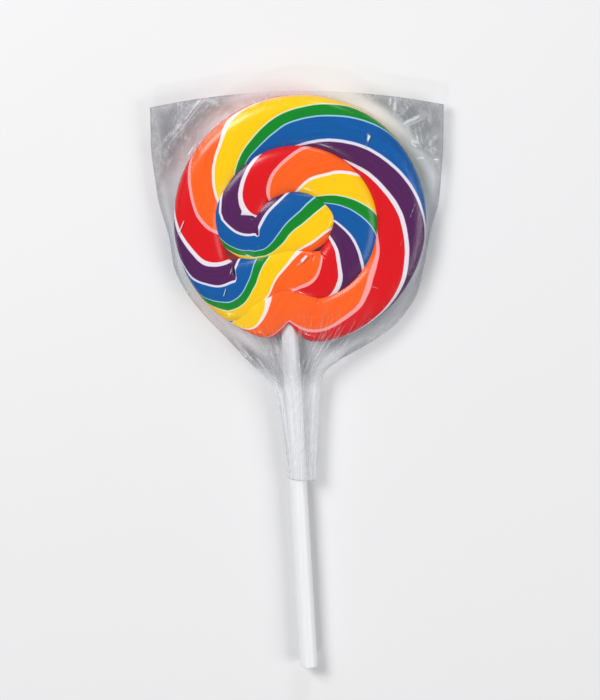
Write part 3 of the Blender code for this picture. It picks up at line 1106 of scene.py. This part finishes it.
@dataclass
class Film:
    """The film bag, in disc radii unless a comment says metres."""

    line: StickLine
    seed: int = 11
    rows: int = 300
    front_columns: int = 176
    back_columns: int = 96
    top_arch: float = 0.12
    # left and right edges from the top corners down to the end of the gathered sleeve
    edges: tuple[tuple[tuple[float, float], tuple[float, float]], ...] = (
        ((-1.18, 0.90), (1.13, 0.925)),
        ((-1.175, 0.55), (1.13, 0.58)),
        ((-1.12, 0.14), (1.10, 0.14)),
        ((-1.035, -0.14), (1.03, -0.09)),
        ((-1.00, -0.40), (0.985, -0.38)),
        ((-0.90, -0.60), (0.93, -0.62)),
        ((-0.76, -0.78), (0.77, -0.85)),
        ((-0.56, -0.985), (0.56, -1.00)),
        ((-0.40, -1.17), (0.355, -1.11)),
        ((-0.21, -1.34), (0.185, -1.22)),
        ((-0.175, -1.5), (0.160, -1.42)),
        ((-0.137, -1.756), (0.142, -1.72)),
        ((-0.105, -2.0), (0.130, -2.0)),
        ((-0.100, -2.10), (0.128, -2.12)),
    )
    clearance: float = 0.00035  # metres
    slack: float = 0.00025  # metres between the sheets where they lie together
    shoulder: float = 0.19
    tent_start: float = 0.90
    tent_end: float = 1.17
    hull_half_widths: tuple[float, float] = (0.736, 0.19)  # where it leaves the disc, at the neck
    hull_places: tuple[float, float] = (0.677, 1.27)  # the same, below the disc's middle
    sleeve_end: float = 2.1
    neck_heights: dict[Side, float] = field(
        default_factory=lambda: {Side.FRONT: 0.0043, Side.BACK: 0.0041}  # metres
    )
    sleeve_height: float = 0.0035  # metres
    pleat_count: int = 46
    margin_folds: CreasePlan = CreasePlan(
        170, (-0.047, 0.045, -0.05, 0.042), 0.010, 0.0009, 0.0007, 1.2, 1.6
    )
    corner_folds: CreasePlan = CreasePlan(
        46, (-0.047, 0.045, 0.018, 0.042), 0.018, 0.0016, 0.0010, 1.3, 0.9
    )
    face_folds: CreasePlan = CreasePlan(
        34, (-0.030, 0.034, -0.038, 0.036), 0.013, 0.00045, 0.00016, 2.3, 1.5
    )
    fold_unit: float = 0.0004  # metres of height in one grid step at which a fold's painted glare is full

    def edge_lines(self) -> tuple[np.ndarray, np.ndarray, np.ndarray]:
        """Left and right edge points for each row, in metres, and each row's share of the way."""
        left = np.array([pair[0] for pair in self.edges])
        right = np.array([pair[1] for pair in self.edges])
        middle = (left + right) / 2
        lengths = np.concatenate([[0], np.cumsum(np.hypot(*np.diff(middle, axis=0).T))])
        share = np.linspace(0, 1, self.rows) * lengths[-1]

        def trace(points: np.ndarray) -> np.ndarray:
            knots = [tuple(zip(lengths, points[:, axis])) for axis in (0, 1)]
            ends = np.minimum(share, lengths[-1] - share)
            smooth = np.array([smoothed(share, knot, 0.10) for knot in knots])
            exact = np.array([np.interp(share, lengths, points[:, axis]) for axis in (0, 1)])
            weight = eased(ends, 0.0, 0.12)
            return (smooth * weight + exact * (1 - weight)).T * DISC_RADIUS

        return trace(left), trace(right), share / lengths[-1]

    def tent(self, radius: np.ndarray, bound: np.ndarray, height: float) -> np.ndarray:
        """The film's height over the disc: tight on the crown, then down to the flat margin."""
        out = DISC_RADIUS + self.clearance
        edge = self.shoulder * DISC_RADIUS + self.clearance
        start = self.tent_start * DISC_RADIUS
        reach = np.maximum(np.minimum(bound, self.tent_end * DISC_RADIUS) - start, 0.002)
        slope = np.clip((radius - start) / reach, 0, 1)
        tented = height * (1 - slope**1.5)
        across = np.clip((radius - (out - edge)) / edge, 0, 1)
        shoulder = height * np.maximum(1 - across**4, 0) ** 0.25
        return np.maximum(tented, shoulder)

    def creases(
        self, x: np.ndarray, y: np.ndarray, rng: np.random.Generator, plan: CreasePlan
    ) -> np.ndarray:
        """Adds up sharp straight folds.

        Args:
            x: places of the sheet's points, in metres.
            y: the same along Y.
            rng: seeded source of random numbers.
            plan: how many folds, where and how large.

        Returns:
            Height of the folds at each point.
        """
        total = np.zeros_like(x)
        for _ in range(plan.count):
            centre = plan.centre(rng)
            angle = plan.angle(rng)
            length = plan.length * rng.uniform(0.4, 1.0)
            width = plan.width * rng.uniform(0.5, 1.3)
            height = plan.height * rng.uniform(0.4, 1.0) * rng.choice((1.0, 1.0, -0.6))
            along = (x - centre[0]) * math.cos(angle) + (y - centre[1]) * math.sin(angle)
            away = (y - centre[1]) * math.cos(angle) - (x - centre[0]) * math.sin(angle)
            away = away + along**2 * rng.uniform(-6, 6)
            profile = np.maximum(1 - np.abs(away) / width, 0) * np.maximum(
                1 - (along / length) ** 2, 0
            )
            total += height * profile
        return total

    def pleats(self, across: np.ndarray, y: np.ndarray, rng: np.random.Generator) -> np.ndarray:
        """Folds that fan out from the gathered neck, as heights from 0 to about 1."""
        total = np.zeros_like(across)
        for _ in range(self.pleat_count):
            middle = rng.uniform(-0.97, 0.97)
            width = rng.uniform(0.018, 0.07)
            start = -rng.uniform(0.45, 1.05) * DISC_RADIUS
            height = rng.uniform(0.35, 1.0) * rng.choice((1.0, -0.7))
            bend = rng.uniform(-0.10, 0.10)
            drift = middle + bend * np.clip((y + 1.3 * DISC_RADIUS) / DISC_RADIUS, -1, 1)
            profile = np.maximum(1 - np.abs(across - drift) / width, 0)
            total += height * profile * (1 - eased(y, start - 0.012, start))
        return total

    def build(self) -> bpy.types.Object:
        """The whole bag as one closed skin: front sheet, back sheet and the gathered sleeve."""
        rng = np.random.default_rng(self.seed)
        left, right, share = self.edge_lines()
        sheets = {
            side: self.sheet(side, left, right, share, rng) for side in (Side.FRONT, Side.BACK)
        }
        bm = bmesh.new()
        names = ("haze", "gathered", "across", "pull")
        layers = [bm.verts.layers.float.new(name) for name in names]
        grids = {}
        for side, (place, values) in sheets.items():
            grid = np.empty(place.shape[:2], object)
            for row in range(place.shape[0]):
                for column in range(place.shape[1]):
                    vert = bm.verts.new(place[row, column])
                    for layer, value in zip(layers, values[row, column]):
                        vert[layer] = value
                    grid[row, column] = vert
            grids[side] = grid
            for row in range(place.shape[0] - 1):
                for column in range(place.shape[1] - 1):
                    corners = (
                        grid[row, column],
                        grid[row, column + 1],
                        grid[row + 1, column + 1],
                        grid[row + 1, column],
                    )
                    bm.faces.new(corners if side is Side.BACK else corners[::-1])
        self.close_ends(bm, grids)
        mesh = mesh_from(bm, "film_wrap", 180.0)
        film = new_piece("film_wrap", mesh, FilmFinish().material())
        hand_over(film, Slot.FILM, "film_bag")
        return film

    def close_ends(self, bm: bmesh.types.BMesh, grids: dict[Side, np.ndarray]) -> None:
        """Joins the two sheets all round: their edges touch, and the ends are zipped shut."""
        front, back = grids[Side.FRONT], grids[Side.BACK]
        for rows in (0, -1):
            self.zip_rows(bm, list(front[rows]), list(back[rows]))
        for columns in (0, -1):
            for first, second in zip(front[:, columns], back[:, columns]):
                second.co = first.co
        bmesh.ops.remove_doubles(bm, verts=bm.verts, dist=MERGE_DISTANCE)

    def zip_rows(self, bm: bmesh.types.BMesh, first: list[Any], second: list[Any]) -> None:
        """Fills the slit between two rows of points that end together."""
        i = j = 0
        while i < len(first) - 1 or j < len(second) - 1:
            share_first = (i + 1) / (len(first) - 1)
            share_second = (j + 1) / (len(second) - 1)
            if j == len(second) - 1 or (i < len(first) - 1 and share_first <= share_second):
                bm.faces.new((first[i], first[i + 1], second[j]))
                i += 1
            else:
                bm.faces.new((first[i], second[j + 1], second[j]))
                j += 1

    def sheet(
        self,
        side: Side,
        left: np.ndarray,
        right: np.ndarray,
        share: np.ndarray,
        rng: np.random.Generator,
    ) -> tuple[np.ndarray, np.ndarray]:
        """One sheet of the bag.

        Args:
            side: front or back.
            left: left edge points by row, in metres.
            right: right edge points by row.
            share: each row's share of the way down.
            rng: seeded source of random numbers.

        Returns:
            Places, and the attributes for haze with painted shade and glare, neck whiteness with
            painted glare, place across and pull, by row and column.
        """
        front = side is Side.FRONT
        count = self.front_columns if front else self.back_columns
        across = np.sin(np.linspace(-1, 1, count) * math.pi / 2) * 0.35
        across += np.linspace(-1, 1, count) * 0.65
        t = np.broadcast_to(across, (self.rows, count))
        x = left[:, :1] + (right[:, :1] - left[:, :1]) * (t + 1) / 2
        y = left[:, 1:] + (right[:, 1:] - left[:, 1:]) * (t + 1) / 2
        arch = self.top_arch * (1 - t**2) * (1 - eased(share[:, None], 0, 0.25))
        y = y + arch * DISC_RADIUS
        radius = np.hypot(x, y)
        bound_side = np.where(t > 0, np.abs(right[:, :1]), np.abs(left[:, :1]))
        bound = radius * bound_side / np.maximum(np.abs(x), 1e-5)
        crown = (CROWN_HEIGHT if front else UNDERSIDE_DEPTH) + self.clearance
        disc = self.tent(radius, bound, crown)
        rising = eased(-y / DISC_RADIUS, self.hull_places[1], self.sleeve_end)
        neck_height = self.neck_heights[side] * (1 - rising) + self.sleeve_height * rising
        bulge = eased(-y / DISC_RADIUS, 0.62, 1.0)
        power = 3.2 - 1.1 * eased(-y / DISC_RADIUS, 0.9, 1.5)
        neck_left = np.minimum(np.abs(left[:, :1]), self.hull(y))
        neck_right = np.minimum(np.abs(right[:, :1]), self.hull(y))
        reach = np.where(x > 0, neck_right, neck_left)
        inside = np.clip(np.abs(x) / np.maximum(reach, 1e-5), 0, 1)
        sleeve = neck_height * bulge * np.maximum(1 - inside**power, 0) ** (1 / power)
        height = np.maximum(disc, sleeve)
        margin = 1 - eased(height, 0.0004, 0.0022)
        rim = np.minimum(1 - np.abs(t), 0.03) / 0.03 * np.minimum(share[:, None] / 0.012, 1)
        pleated = self.pleats(t, y, rng)
        deep = eased(-y / DISC_RADIUS, 0.55, 1.05)
        fold = self.creases(x, y, rng, self.margin_folds) * margin
        fold += self.creases(x, y, rng, self.corner_folds) * margin
        face = self.creases(x, y, rng, self.face_folds) * (1 - margin)
        fold += pleated * (0.00012 + 0.00040 * deep) * (0.35 + 0.65 * margin)
        fold += face
        lift = self.slack + np.maximum(fold, -self.slack) * rim
        place_z = (height + lift) * np.minimum(rim * 3, 1)
        # painted highlight: where a fold's flank is steep the film is painted hazier and white, as
        # if it caught the lamps; this is added to the gathered neck's whiteness
        slope = np.hypot(np.gradient(fold, axis=0), np.gradient(fold, axis=1)) / self.fold_unit
        painted_shine_on_folds = eased(slope, 0.15, 1.1)
        # grey body on the loose margins: partly the film's own haze, partly painted shade
        haze = 0.008 + 0.34 * margin + 0.04 * deep
        haze += painted_shine_on_folds * (0.10 + 0.42 * margin)
        neck = eased(-y / DISC_RADIUS, 1.05, 1.40)
        gathered = np.clip(neck + 0.8 * painted_shine_on_folds, 0, 1)
        haze = np.clip(haze + neck * (0.34 + 0.22 * eased(pleated, -0.2, 0.8)), 0, 0.92)
        if not front:
            place_z = np.minimum(place_z, MIDDLE_Z - 0.00008)
        place = np.stack([x, y, MIDDLE_Z + side.value * place_z], axis=-1)
        pull = eased(-y / DISC_RADIUS, 0.42, 1.12)
        return place, np.stack(np.broadcast_arrays(haze, gathered, t, pull), axis=-1)

    def hull(self, y: np.ndarray) -> np.ndarray:
        """Half width of the film pulled straight from the disc's sides to the neck, in metres."""
        start, end = self.hull_places
        wide, narrow = self.hull_half_widths
        down = np.clip((-y / DISC_RADIUS - start) / (end - start), 0, 1)
        return DISC_RADIUS * (wide + (narrow - wide) * down)


@dataclass
class Studio:
    """Floor, lamps and camera, in metres."""

    view_height: float = 0.2177
    distance: float = 1.25
    tilt: float = math.radians(13)
    aim: tuple[float, float, float] = (0.0, -0.0412, 0.0048)
    floor_size: float = 2.5
    floor_gap: float = 0.0001

    def floor(self) -> None:
        """A plain pale floor."""
        bm = bmesh.new()
        bmesh.ops.create_grid(bm, x_segments=8, y_segments=8, size=self.floor_size)
        bmesh.ops.translate(bm, verts=bm.verts, vec=(0, 0, -self.floor_gap))
        mesh = bpy.data.meshes.new("floor")
        bm.to_mesh(mesh)
        bm.free()
        floor = new_piece("floor", mesh, FloorFinish().material())

    def lamp(
        self, name: str, place: tuple[float, float, float], size: float, watts: float
    ) -> None:
        """A square soft lamp that looks at the disc."""
        light = bpy.data.lights.new(name, "AREA")
        light.energy = watts
        light.size = size
        item = bpy.data.objects.new(name, light)
        item.location = place
        item.rotation_euler = (-Vector(place)).to_track_quat("-Z", "Y").to_euler()
        bpy.context.scene.collection.objects.link(item)

    def lights(self) -> None:
        """Soft lamps at both sides, small bright ones for glints, and a dim even world."""
        self.lamp("key", (-0.55, 0.45, 0.85), 0.45, 8.8)
        self.lamp("fill", (0.75, -0.25, 0.75), 0.60, 4.2)
        self.lamp("back", (0.25, 0.95, 0.50), 0.30, 2.2)
        self.lamp("glint", (-0.20, -0.85, 0.75), 0.08, 1.6)
        world = bpy.data.worlds.new("studio")
        bpy.context.scene.world = world
        world.use_nodes = True
        tree = Tree(world.node_tree)
        even = tree.add("ShaderNodeBackground", {}, {"Color": (1, 1, 1, 1), "Strength": 0.19})
        tree.add("ShaderNodeOutputWorld", {}, {"Surface": even})

    def camera(self) -> None:
        """A long lens that looks down on the disc, a little from above its top."""
        data = bpy.data.cameras.new("camera")
        data.sensor_fit = "VERTICAL"
        data.sensor_height = 36
        data.lens = data.sensor_height * self.distance / self.view_height
        data.clip_start = 0.05
        item = bpy.data.objects.new("camera", data)
        away = Vector((0, math.sin(self.tilt), math.cos(self.tilt)))
        item.location = Vector(self.aim) + away * self.distance
        item.rotation_euler = (-self.tilt, 0, 0)
        bpy.context.scene.collection.objects.link(item)
        bpy.context.scene.camera = item

    def build(self) -> None:
        """Sets the whole stage."""
        self.floor()
        self.lights()
        self.camera()
        bpy.context.scene.view_settings.view_transform = "Standard"


def main() -> None:
    """Builds every piece and sets the stage."""
    logging.basicConfig(level=logging.INFO, format="%(name)s %(message)s")
    line = StickLine()
    Candy(line).build()
    Stick(line).build()
    Film(line).build()
    Studio().build()


if __name__ == "__main__":
    main()
